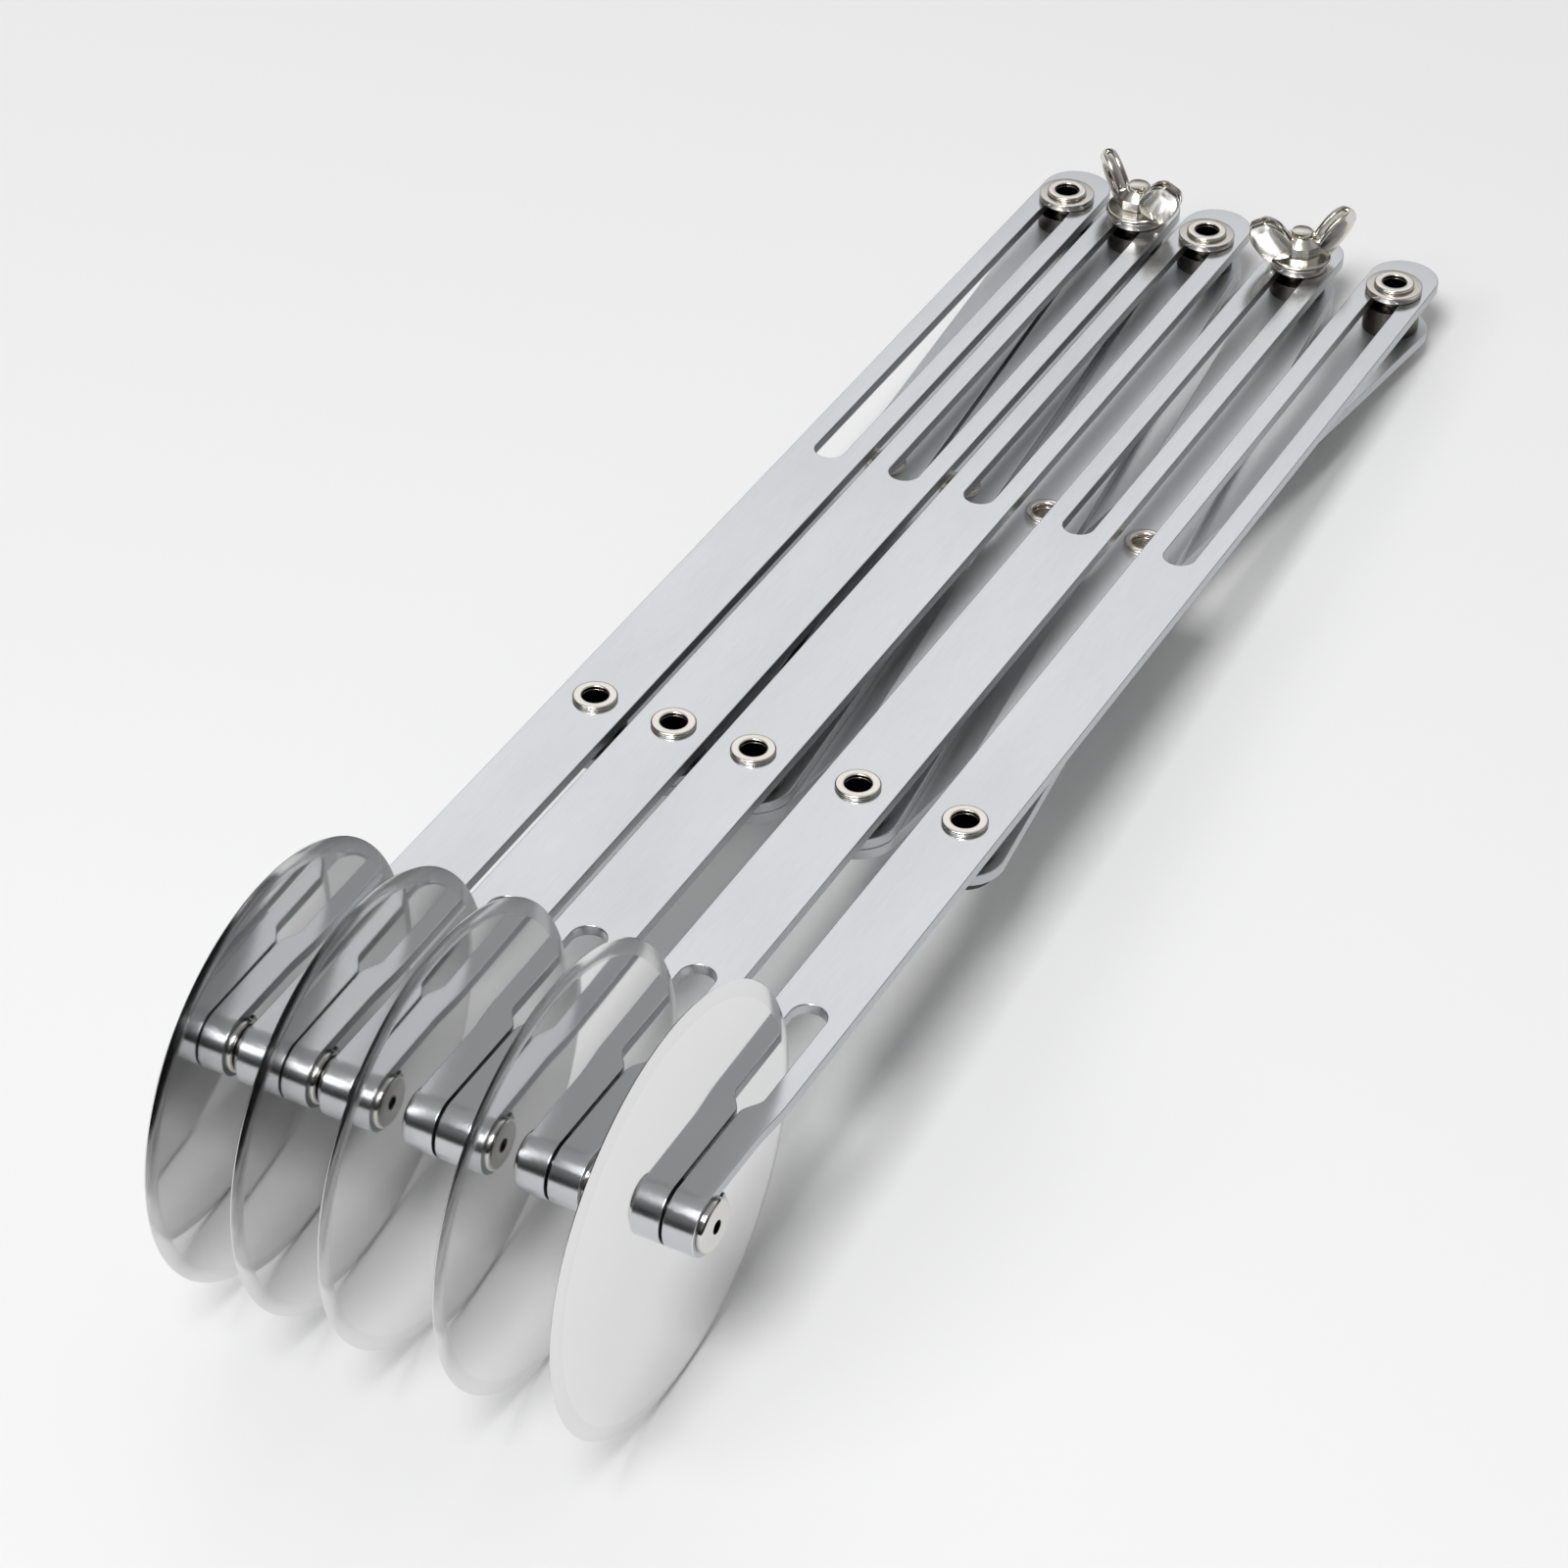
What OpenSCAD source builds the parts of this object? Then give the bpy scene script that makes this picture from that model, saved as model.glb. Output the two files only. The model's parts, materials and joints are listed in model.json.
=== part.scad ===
// Expandable dough cutter: five flat bars, each with a disc wheel in its forked front end.
// Two layers of crossing links under the bars keep them parallel while their spacing is set.
// Lengths are in millimetres and angles in degrees.
// The tool is drawn lying flat: the front pivot of the middle bar is the origin, x runs across
// the bars, y towards their rear ends, and z = 0 is the bars' upper face. stand() then tips it
// until it rests on its wheels and on its bolt heads.

/* [Spacing] */
// Gap left between the rivet heads of two closed bars
closed_gap = 0.3; // [0.2:0.1:2]
// How much further apart the bars of the right half stand
right_half_extra = 3.5; // [0.5:0.1:12]

/* [Bars] */
// Width of a bar
bar_w = 10.5; // [9.8:0.1:12]
// Thickness of a bar
bar_t = 1.6; // [1.2:0.1:1.9]
// From the front pivot to the wheel axle
pivot_to_axle = 76.6; // [72:0.1:100]
// How far the rear pivot can slide forward in its slot
slot_travel = 79.2; // [60:0.1:95]
// Room behind the rear pivot when the bars are closed
slot_rear_room = 1.5; // [0.5:0.1:4]
// Metal left behind the slot
slot_end_wall = 5.2; // [4:0.1:8]
// Clearance on each side of a rear pivot in its slot
slot_play = 0.1; // [0.05:0.01:0.3]

/* [Fork] */
// Width of the wide part of the fork's opening
fork_gap_w = 4.8; // [4:0.1:5.6]
// Room between the wheel's rim and the rear end of the fork's opening
fork_rim_room = 7.4; // [2:0.1:9]
// Where the narrow part of the opening begins, measured from the axle
fork_neck = 14.6; // [8:0.1:18]
// Length of the step from the narrow part to the wide part
fork_step = 3.5; // [2:0.1:6]
// Clearance on each side of the wheel between the prongs
fork_side_room = 0.2; // [0.1:0.05:0.4]
// How much the fork narrows on each side before the curled ends
fork_narrowing = 0.4; // [0.2:0.05:0.8]
// Outer diameter of the curled ends
curl_d = 8.4; // [7.6:0.1:10]
// Angle through which an end is curled
curl_sweep = 300; // [270:1:305]

/* [Wheels] */
// Diameter of a cutting wheel
wheel_d = 57; // [50:0.5:60]
// Thickness of a cutting wheel
wheel_t = 1; // [0.8:0.05:1.4]
// Width of the bevel at the rim
wheel_bevel_w = 2; // [1:0.1:4]
// Thickness left at the rim's edge
wheel_edge_t = 0.2; // [0.1:0.05:0.4]
// Diameter of a rivet's head
rivet_head_d = 7; // [6.4:0.1:7.6]
// Height of a rivet's head
rivet_head_h = 0.9; // [0.7:0.05:1.2]
// Bore along a rivet
rivet_bore = 1.6; // [1:0.1:2.4]

/* [Links] */
// Distance between the end pivots of a link
link_len = 147; // [130:0.5:170]
// Thickness of a link
link_t = 1.6; // [1.2:0.1:2]
// Gap left between the edges of neighbouring links of closed bars
link_side_gap = 0.6; // [0.3:0.1:2]
// Gap between faces that slide on each other
layer_gap = 0.1; // [0.05:0.01:0.2]
// Extra clearance around the middle bar's rear pivot in the link from the left half
free_pivot_play = 1.2; // [1.1:0.05:1.4]

/* [Eyelets and washers] */
// Bore of a hollow eyelet
eyelet_bore = 3.5; // [3:0.1:3.7]
// Outer diameter of an eyelet's tube
eyelet_d = 4.3; // [4.1:0.1:4.6]
// Outer diameter of an eyelet's rolled rim
rim_d = 6.4; // [5.8:0.1:7]
// Height of an eyelet's rolled rim
rim_h = 0.9; // [0.6:0.05:1.1]
// Room between a crossing eyelet's rim and the bars above it
cross_room = 1.8; // [0.2:0.1:3]
// Diameter of washers and spacers
washer_d = 8.5; // [8.2:0.1:9.4]
// Thickness of a washer
washer_t = 1; // [0.8:0.05:1.2]
// Radial clearance of pins in their holes
pin_clearance = 0.05; // [0.02:0.01:0.08]

/* [Clamps] */
// Diameter of a clamp bolt
bolt_d = 4; // [3.6:0.1:4.2]
// Diameter of a bolt's head
bolt_head_d = 7.5; // [6.8:0.1:8.2]
// Height of a bolt's head
bolt_head_h = 2.2; // [1.8:0.1:3]
// How far a bolt stands above its nut's hub
bolt_end_h = 0.8; // [0.4:0.1:2]
// Diameter of a wing nut's round base
nut_base_d = 9.6; // [9:0.1:10.2]
// Height of a wing nut's round base
nut_base_h = 1.7; // [1.5:0.1:2.4]
// Diameter of a wing nut's hub
nut_hub_d = 6.4; // [5.8:0.1:7]
// Height of a wing nut's hub above its base
nut_hub_h = 2.6; // [2:0.1:4]
// Length of a wing nut's ear, from its root to its folded tip
ear_len = 8; // [6.5:0.1:9]
// Width of an ear
ear_w = 4.6; // [3.6:0.1:5.4]
// Thickness of an ear
ear_t = 2.6; // [2:0.1:3.2]
// Thickness of the sheet that an ear is folded from
ear_wall = 0.75; // [0.5:0.05:0.9]
// Angle by which an ear leans outwards
ear_lean = 35; // [20:1:45]
// Angle by which an ear is turned about its own length
ear_twist = 27; // [0:1:45]
// Direction of the left nut's ears
left_nut_turn = -22; // [-180:1:180]
// Direction of the right nut's ears
right_nut_turn = 43; // [-180:1:180]

/* [Hidden] */
$fn = 96;
overrun = 1;
arc_steps = 8;
bar_count = 5;
mid_bar = 3;
rivet_round_share = 0.6;
bolt_round_share = 0.3;
bolt_slot_w_share = 0.16;
bolt_slot_depth_share = 0.4;
nut_rim_share = 0.35;
ear_root_share = 0.4;
ear_sink_share = 0.4;
steel = "#d3d6da";
mirror_steel = "#e6e8ea";
nickel = "#d8d2c8";

// The curled ends hold the axle rivets, which turn in nothing but the wheels.
curl_bore = curl_d - 2 * bar_t;
shank_d = curl_bore - 2 * pin_clearance;
wheel_bore = shank_d + 2 * pin_clearance;
wheel_r = wheel_d / 2;
slit_half = wheel_t / 2 + fork_side_room;
curl_half = bar_w / 2 - fork_narrowing;
rivet_grip = 2 * (curl_half + pin_clearance);
rivet_len = rivet_grip + 2 * rivet_head_h;
axle_z = -curl_d / 2;

// Bars and links: closed_pitch keeps the rivet heads just apart.
closed_pitch = rivet_len + closed_gap;
open_pitch = closed_pitch + right_half_extra;
closed_rear_y = sqrt(pow(link_len, 2) - pow(closed_pitch, 2));
link_w = closed_pitch * closed_rear_y / link_len - link_side_gap;
pin_hole = eyelet_d + 2 * pin_clearance;
slot_w = eyelet_d + 2 * slot_play;
slot_rear_y = closed_rear_y + slot_rear_room;
slot_front_y = closed_rear_y - slot_travel;
bar_end_y = slot_rear_y + slot_w / 2 + slot_end_wall;
fork_end_y = wheel_r + fork_rim_room - pivot_to_axle;

// Heights of the layers, from the bars' upper faces downwards.
spacer_h = rim_h + cross_room;
bar_under = -bar_t;
upper_top = bar_under - spacer_h - layer_gap;
upper_under = upper_top - link_t;
lower_top = upper_under - layer_gap;
lower_under = lower_top - link_t;
stack_under = lower_under - layer_gap;
washer_under = stack_under - washer_t;
washer_top = layer_gap + washer_t;
bolt_under = washer_under - bolt_head_h;
nut_top = washer_top + nut_base_h + nut_hub_h;
bolt_top = nut_top + bolt_end_h;

// The tool rests on its wheels and on the rear edges of its bolt heads.
rest_y = closed_rear_y + bolt_head_d / 2 - bolt_round_share * bolt_head_h;
rest_run = rest_y + pivot_to_axle;
rest_drop = axle_z - bolt_under;
tilt = asin(wheel_r / norm([rest_run, rest_drop])) - atan2(rest_drop, rest_run);
axle_up = pivot_to_axle * sin(tilt) + axle_z * cos(tilt);
stand_z = wheel_r - axle_up;
front_y = axle_z * sin(tilt) - pivot_to_axle * cos(tilt) - wheel_r;
middle_y = (front_y + bar_end_y * cos(tilt)) / 2;
middle_x = (bar_x(1) + bar_x(bar_count)) / 2;

// Spacing of bars i and i + 1, and how far the links between them lean from the bars.
function pitch(i) = i < mid_bar ? closed_pitch : open_pitch;
function lean(i) = asin(pitch(i) / link_len);
function bar_x(i) = (i - mid_bar) * pitch(i < mid_bar ? i : mid_bar);
function rear_unit(i) = min(i, bar_count - 1);
function rear_y(i) = link_len * cos(lean(rear_unit(i)));
function is_clamped(i) = i % 2 == 0;
function rear_pin_d(i) = is_clamped(i) ? bolt_d : eyelet_d;

// Points of an arc of an ellipse.
function arc(centre, radii, from, to) = [
    for (k = [0 : arc_steps])
        let (a = from + (to - from) * k / arc_steps)
        [centre.x + radii.x * cos(a), centre.y + radii.y * sin(a)]
];

module stand() {
    translate([-middle_x, -middle_y, stand_z]) rotate([-tilt, 0, 0]) children();
}

module at_front(i) {
    translate([bar_x(i), 0, 0]) children();
}

module at_rear(i) {
    translate([bar_x(i), rear_y(i), 0]) children();
}

module at_axle(i) {
    translate([bar_x(i), -pivot_to_axle, axle_z]) children();
}

module ring(outer_d, inner_d, low, high) {
    difference() {
        translate([0, 0, low]) cylinder(d = outer_d, h = high - low);
        translate([0, 0, low - overrun]) cylinder(d = inner_d, h = high - low + 2 * overrun);
    }
}

module slot_outline(width, from_y, to_y) {
    translate([-width / 2, from_y]) square([width, to_y - from_y]);
    translate([0, from_y]) circle(d = width);
    translate([0, to_y]) circle(d = width);
}

// Domed edge all round, as on rivet and bolt heads; the flat seat lies at z = 0.
module round_head(d, h, edge) {
    rotate_extrude() polygon(concat(
        [[0, 0], [d / 2, 0]],
        arc([d / 2 - edge, h - edge], [edge, edge], 0, 90),
        [[0, h]]
    ));
}

module rolled_rim() {
    rim_mid = (rim_d + eyelet_bore) / 4;
    rim_half = (rim_d - eyelet_bore) / 4;
    rotate_extrude() polygon(arc([rim_mid, 0], [rim_half, rim_h], 0, 180));
}

// A hollow eyelet that grips everything between two heights.
module eyelet(low, high) {
    color(nickel) {
        ring(eyelet_d, eyelet_bore, low, high);
        translate([0, 0, high]) rolled_rim();
        translate([0, 0, low]) mirror([0, 0, 1]) rolled_rim();
    }
}

module fork_outline() {
    fork_taper_end = fork_neck - fork_step;
    polygon([
        [-bar_w / 2, 0],
        [-bar_w / 2, fork_neck + fork_step - pivot_to_axle],
        [-curl_half, fork_taper_end - pivot_to_axle],
        [-curl_half, -pivot_to_axle],
        [curl_half, -pivot_to_axle],
        [curl_half, fork_taper_end - pivot_to_axle],
        [bar_w / 2, fork_neck + fork_step - pivot_to_axle],
        [bar_w / 2, 0]
    ]);
}

module fork_opening() {
    wide = fork_gap_w / 2;
    round_y = fork_end_y - wide;
    step_y = fork_neck + fork_step - pivot_to_axle;
    translate([0, round_y]) circle(d = fork_gap_w);
    polygon([
        [-wide, round_y],
        [-wide, step_y],
        [-slit_half, fork_neck - pivot_to_axle],
        [-slit_half, -pivot_to_axle - overrun],
        [slit_half, -pivot_to_axle - overrun],
        [slit_half, fork_neck - pivot_to_axle],
        [wide, step_y],
        [wide, round_y]
    ]);
}

// One prong's end, curled forward and down around the axle.
module curl() {
    translate([slit_half, 0, 0]) rotate([180, -90, 0]) rotate_extrude(angle = curl_sweep)
        translate([curl_bore / 2, 0]) square([bar_t, curl_half - slit_half]);
}

module wheel_bar(i) {
    color(steel) {
        at_front(i) translate([0, 0, bar_under]) linear_extrude(bar_t) difference() {
            union() {
                fork_outline();
                translate([-bar_w / 2, 0]) square([bar_w, bar_end_y - bar_w / 2]);
                translate([0, bar_end_y - bar_w / 2]) circle(d = bar_w);
            }
            circle(d = pin_hole);
            fork_opening();
            slot_outline(slot_w, slot_front_y, slot_rear_y);
        }
        at_axle(i) curl();
        at_axle(i) mirror([1, 0, 0]) curl();
    }
}

module cutting_wheel(i) {
    half = wheel_t / 2;
    edge = wheel_edge_t / 2;
    flat_r = wheel_r - wheel_bevel_w;
    color(mirror_steel) at_axle(i) rotate([0, 90, 0]) rotate_extrude() polygon([
        [wheel_bore / 2, -half],
        [flat_r, -half],
        [wheel_r, -edge],
        [wheel_r, edge],
        [flat_r, half],
        [wheel_bore / 2, half]
    ]);
}

module axle_rivet(i) {
    color(steel) at_axle(i) rotate([0, 90, 0]) difference() {
        union() {
            translate([0, 0, -rivet_grip / 2]) cylinder(d = shank_d, h = rivet_grip);
            for (side = [0, 1]) mirror([0, 0, side]) translate([0, 0, rivet_grip / 2])
                round_head(rivet_head_d, rivet_head_h, rivet_round_share * rivet_head_h);
        }
        translate([0, 0, -rivet_len / 2 - overrun])
            cylinder(d = rivet_bore, h = rivet_len + 2 * overrun);
    }
}

module front_eyelet(i) {
    at_front(i) eyelet(stack_under, 0);
}

// The first bar has no upper link and the last no lower one, so spacers fill those layers.
module front_spacers(i) {
    under = i == 1 ? upper_under : bar_under - spacer_h;
    color(steel) at_front(i) {
        ring(washer_d, pin_hole, under, bar_under);
        if (i == bar_count) ring(washer_d, pin_hole, stack_under, lower_top);
    }
}

module rear_spacers(i) {
    under = i == bar_count ? lower_top : upper_top;
    hole = rear_pin_d(i) + 2 * pin_clearance;
    color(steel) at_rear(i) {
        ring(washer_d, hole, under, bar_under - layer_gap);
        if (i == 1) ring(washer_d, hole, stack_under, upper_under);
    }
}

// A washer under each rear pivot, and one on top where an eyelet holds it.
module rear_washers(i) {
    hole = rear_pin_d(i) + 2 * pin_clearance;
    color(steel) at_rear(i) {
        ring(washer_d, hole, washer_under, stack_under);
        if (!is_clamped(i)) ring(washer_d, hole, layer_gap, washer_top);
    }
}

module rear_eyelet(i) {
    at_rear(i) eyelet(washer_under, washer_top);
}

module clamp_bolt(i) {
    slot_cut_w = bolt_head_d * bolt_slot_w_share;
    slot_cut_h = bolt_head_h * bolt_slot_depth_share;
    edge = bolt_round_share * bolt_head_h;
    color(nickel) at_rear(i) {
        translate([0, 0, washer_under]) cylinder(d = bolt_d, h = bolt_top - washer_under);
        difference() {
            translate([0, 0, washer_under]) mirror([0, 0, 1])
                round_head(bolt_head_d, bolt_head_h, edge);
            translate([-slot_cut_w / 2, -bolt_head_d, bolt_under - overrun])
                cube([slot_cut_w, 2 * bolt_head_d, slot_cut_h + overrun]);
        }
    }
}

module clamp_washer(i) {
    color(steel) at_rear(i) ring(washer_d, bolt_d + 2 * pin_clearance, layer_gap, washer_top);
}

// An ear is sheet folded over at its tip: two oval walls with a slit between them.
module ear() {
    slit_w = ear_t - 2 * ear_wall;
    translate([nut_hub_d * ear_root_share, 0, nut_base_h * ear_sink_share])
        rotate([0, ear_lean, 0]) rotate([0, 0, ear_twist]) difference() {
            translate([0, ear_t / 2, 0]) rotate([90, 0, 0]) linear_extrude(ear_t)
                slot_outline(ear_w, ear_w / 2, ear_len - ear_w / 2);
            translate([-ear_w, -slit_w / 2, -overrun])
                cube([2 * ear_w, slit_w, ear_len - ear_wall + overrun]);
        }
}

module wing_nut(i) {
    turn = i < mid_bar ? left_nut_turn : right_nut_turn;
    edge = nut_base_h * nut_rim_share;
    color(nickel) at_rear(i) translate([0, 0, washer_top]) rotate([0, 0, turn]) difference() {
        union() {
            round_head(nut_base_d, nut_base_h, edge);
            cylinder(d = nut_hub_d, h = nut_base_h + nut_hub_h);
            ear();
            mirror([1, 0, 0]) ear();
        }
        translate([0, 0, -overrun])
            cylinder(d = bolt_d + 2 * pin_clearance, h = nut_base_h + ear_len + 2 * overrun);
    }
}

// A flat link from its front pivot at the origin, with holes for both ends and the crossing.
module link_plate(rear_hole) {
    linear_extrude(link_t) difference() {
        slot_outline(link_w, 0, link_len);
        circle(d = pin_hole);
        translate([0, link_len / 2]) circle(d = pin_hole);
        translate([0, link_len]) circle(d = rear_hole);
    }
}

// Upper link i runs from the front pivot of bar i + 1 to the rear pivot of bar i.
module upper_link(i) {
    color(steel) at_front(i + 1) translate([0, 0, upper_under]) rotate([0, 0, lean(i)])
        link_plate(rear_pin_d(i) + 2 * pin_clearance);
}

// Lower link i runs from the front pivot of bar i to the rear pivot of bar i + 1.
module lower_link(i) {
    meets_other_half = i + 1 == mid_bar;
    play = meets_other_half ? free_pivot_play : 2 * pin_clearance;
    color(steel) at_front(i) translate([0, 0, lower_under]) rotate([0, 0, -lean(i)])
        link_plate(rear_pin_d(i + 1) + 2 * play);
}

module cross_eyelet(i) {
    translate([(bar_x(i) + bar_x(i + 1)) / 2, link_len / 2 * cos(lean(i)), 0])
        eyelet(stack_under, upper_top);
}

for (i = [1 : bar_count]) {
    stand() wheel_bar(i);
    stand() cutting_wheel(i);
    stand() axle_rivet(i);
    stand() front_eyelet(i);
    stand() front_spacers(i);
    stand() rear_spacers(i);
    stand() rear_washers(i);
}
for (i = [1 : 2 : bar_count]) {
    stand() rear_eyelet(i);
}
for (i = [2 : 2 : bar_count]) {
    stand() clamp_bolt(i);
    stand() clamp_washer(i);
    stand() wing_nut(i);
}
for (i = [1 : bar_count - 1]) {
    stand() upper_link(i);
    stand() lower_link(i);
    stand() cross_eyelet(i);
}
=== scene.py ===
import json
import math

import bmesh
import bpy
from mathutils import Matrix, Vector


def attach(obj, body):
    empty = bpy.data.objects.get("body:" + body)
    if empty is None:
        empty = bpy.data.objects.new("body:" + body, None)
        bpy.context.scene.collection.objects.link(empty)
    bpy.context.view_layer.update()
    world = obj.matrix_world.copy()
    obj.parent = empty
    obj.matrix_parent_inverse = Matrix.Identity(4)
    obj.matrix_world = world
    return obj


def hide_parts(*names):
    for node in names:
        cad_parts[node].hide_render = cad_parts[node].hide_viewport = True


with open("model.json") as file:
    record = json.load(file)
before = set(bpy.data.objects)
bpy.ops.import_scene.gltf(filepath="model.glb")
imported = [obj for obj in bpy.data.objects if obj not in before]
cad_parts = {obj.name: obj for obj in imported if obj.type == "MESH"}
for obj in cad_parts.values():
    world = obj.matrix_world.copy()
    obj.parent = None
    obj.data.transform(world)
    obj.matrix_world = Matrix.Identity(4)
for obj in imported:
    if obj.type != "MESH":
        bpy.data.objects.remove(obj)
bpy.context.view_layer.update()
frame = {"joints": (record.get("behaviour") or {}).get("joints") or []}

# Metres in a millimetre. Sizes below are in millimetres, unless their comment says otherwise
MM = 0.001

# Bars, numbered from the left: strip with a slot at the rear and a fork curled round the axle
BAR_COUNT = 5
MIDDLE_BAR = 3
BAR_W = 10.5
BAR_T = 1.6
BAR_END_Y = 155.47
PIVOT_TO_AXLE = 76.6
SLOT_W = 4.5
SLOT_FRONT_Y = 67.32
SLOT_REAR_Y = 148.02
FORK_GAP_W = 4.8
FORK_END_Y = -40.7
FORK_NECK = 14.6
FORK_STEP = 3.5
SLIT_HALF = 0.7
CURL_HALF = 4.85
CURL_D = 8.4
CURL_SWEEP = math.radians(300)

# Links of the lazy tongs
LINK_LEN = 147.0
LINK_W = 11.26
LINK_T = 1.6
PIN_HOLE = 4.4
PIN_CLEARANCE = 0.05
FREE_PIVOT_PLAY = 1.2

# Disc wheels and the rivets that they turn on
WHEEL_D = 57.0
WHEEL_T = 1.0
WHEEL_BEVEL_W = 2.0
WHEEL_EDGE_T = 0.2
WHEEL_BORE = 5.2
RIVET_HEAD_D = 7.0
RIVET_HEAD_H = 0.9
RIVET_ROUND_SHARE = 0.6
RIVET_GRIP = 9.8
RIVET_SHANK_D = 5.1
RIVET_BORE = 1.6
RIVET_DISH_W = 0.15

# Eyelets at the pivots and crossings, and the washers and spacers around them
EYELET_BORE = 3.5
EYELET_D = 4.3
TUBE_EDGE = 0.05
RIM_D = 6.1
RIM_H = 0.6
RIM_EDGE = 0.28
CROSS_RIM_H = 0.9
CROSS_RIM_EDGE = 0.43
BORE_SHADE_W = 0.08
WASHER_D = 8.5
WASHER_T = 1.0

# Clamp bolts. The end's shares are of the core's radius and of the end's height, down from the top
BOLT_D = 4.0
BOLT_HEAD_D = 7.5
BOLT_HEAD_H = 2.2
BOLT_ROUND_SHARE = 0.3
BOLT_SLOT_W = 1.2
BOLT_SLOT_H = 0.88
BOLT_END_H = 0.5
BOLT_END_SHARES = [(1, 1), (0.9, 0.3), (0.6, 0), (0, 0)]
THREAD_PITCH = 0.7
THREAD_FROM_HEAD = 0.4
THREAD_FROM_TOP = 0.6

# Wing nuts, each turned as in the photograph
NUT_BASE_D = 9.6
NUT_BASE_H = 1.7
NUT_ROLL_SHARE = 0.3
NUT_ROLL_END_DEGREES = 110
NUT_SEAM_SHARE = 0.5
NUT_HUB_D = 6.4
NUT_HUB_H = 2.6
NUT_DOME_SHARE = 0.35
NUT_FLATS = 8
NUT_TURN = {2: math.radians(-22), 4: math.radians(43)}

# Ears of a wing nut: sheet folded double over the tip. The two powers shape the oval and its bulge
EAR_LEAN = math.radians(35)
EAR_TWIST = math.radians(27)
EAR_ROOT_X = 2.56
EAR_ROOT_Z = 0.68
EAR_LEN = 8.6
EAR_HALF_W = 2.4
EAR_TIP_HALF_W = 0.35
EAR_WAIST_SHARE = 0.5
EAR_ROOT_REACH_SHARE = 1.3
EAR_OVAL_POWER = 2.2
EAR_T = 2.0
EAR_SHEET = 0.75
EAR_BULGE = 0.55
EAR_BULGE_POWER = 0.5
EAR_EDGE = 0.22

# Heights of the layers, from the bars' upper faces at 0
LAYER_GAP = 0.1
BAR_UNDER = -BAR_T
UPPER_TOP = -4.4
UPPER_UNDER = UPPER_TOP - LINK_T
LOWER_TOP = UPPER_UNDER - LAYER_GAP
LOWER_UNDER = LOWER_TOP - LINK_T
STACK_UNDER = LOWER_UNDER - LAYER_GAP
WASHER_UNDER = STACK_UNDER - WASHER_T
WASHER_TOP = LAYER_GAP + WASHER_T
BOLT_TOP = 6.2

# Rounded edges. The slopes are upright parts of a face's normal, and verts at a pole are welded
EDGE = 0.14
EDGE_SEGMENTS = 3
ROUND_PROFILE = 0.5
FLAT_SLOPE = 0.5
WALL_SLOPE = 0.3
SMOOTH_ANGLE = math.radians(40)
EAR_SHARP_ANGLE = math.radians(60)
POLE_WELD = 0.001

# Steps that round forms are drawn in
TURN_STEPS = 160
WHEEL_STEPS = 256
NUT_STEPS = 96
RING_STEPS = 96
RING_EDGE_STEPS = 5
HOLE_STEPS = 64
SLOT_STEPS = 32
BAR_END_STEPS = 40
NECK_STEPS = 12
CURL_STEPS = 72
HEAD_EDGE_STEPS = 8
NUT_ROLL_STEPS = 12
THREAD_STEPS = 40
THREAD_SIDES = 6
EAR_ROWS = 16
EAR_BEND_ROWS = 12
EAR_COLUMNS = 15

# The photograph's frame and focal length in pixels, and the camera in the bars' own flat frame
FRAME_PX = 1600
FOCAL_PX = 4568.6
SENSOR_MM = 36.0
CAMERA_AT = Vector((216.73, -407.35, 358.76))
CAMERA_AZIMUTH = math.radians(27.509)
CAMERA_ELEVATION = math.radians(38.282)
CAMERA_ROLL = math.radians(0.870)
CLIP_START_M = 0.01
CLIP_END_M = 20

# Floor and softboxes: places and sizes in metres, power in watts
FLOOR_SIDE_M = 6
SOFTBOXES = {
    "front_softbox": {"at": (0.1, -1.0, 1.9), "size": (0.7, 0.8), "power": 29},
    "left_softbox": {"at": (-0.54, -0.94, 1.03), "size": (0.5, 0.5), "power": 2.2},
}

# The studio's brightness by the upward part of a direction: 0 is the horizon and 1 is overhead
STUDIO_STOPS = [
    (0.0, 0.03),
    (0.16, 0.06),
    (0.34, 0.4),
    (0.46, 1.05),
    (0.62, 1.05),
    (0.78, 0.5),
    (1.0, 0.4),
]
# Dimmer sides (right, far left, camera's side): an axis, a span of a direction's part along that
# axis, and the shares of the brightness that are left at the span's two ends
SIDE_SHARES = [
    ("X", (-0.35, 0.35), (1.0, 0.42)),
    ("X", (-0.75, -0.5), (0.35, 1.0)),
    ("Y", (-0.3, 0.5), (0.25, 1.0)),
]
# Upward parts of a direction between which the dimmer sides fade out
OVERHEAD_SPAN = (0.65, 0.95)

# Settings that all the metals share, and the colour sockets of a mix node
GRAIN_DETAIL = 3.0
CLOUD_DETAIL = 2.0
BUMP_STRENGTH = 0.5
MIX_COLOUR_A = 6
MIX_COLOUR_B = 7
MIX_COLOUR_OUT = 2

joints = {j["name"]: j for j in frame["joints"]}


def flat_frame():
    """Matrix from the bars' own flat millimetre frame to the row frame in metres."""
    up = Vector(joints["bar_2_pivot"]["axis"])
    tilt = math.atan2(up.y, up.z)
    axle = Vector(joints["wheel_3_spin"]["pos_m"])
    to_pivot = Matrix.Translation((0, PIVOT_TO_AXLE, CURL_D / 2))
    return Matrix.Translation(axle) @ Matrix.Rotation(-tilt, 4, "X") @ Matrix.Scale(MM, 4) @ to_pivot


FLAT = flat_frame()
FLAT_INVERSE = FLAT.inverted()


def flat_place(point):
    """A point of the row frame in the bars' flat frame."""
    return FLAT_INVERSE @ Vector(point)


bar_x = {i: flat_place(joints[f"wheel_{i}_spin"]["pos_m"]).x for i in range(1, BAR_COUNT + 1)}


def lean(i):
    """Angle at rest between the bars and the links that join bars i and i + 1."""
    return math.asin((bar_x[i + 1] - bar_x[i]) / LINK_LEN)


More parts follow.
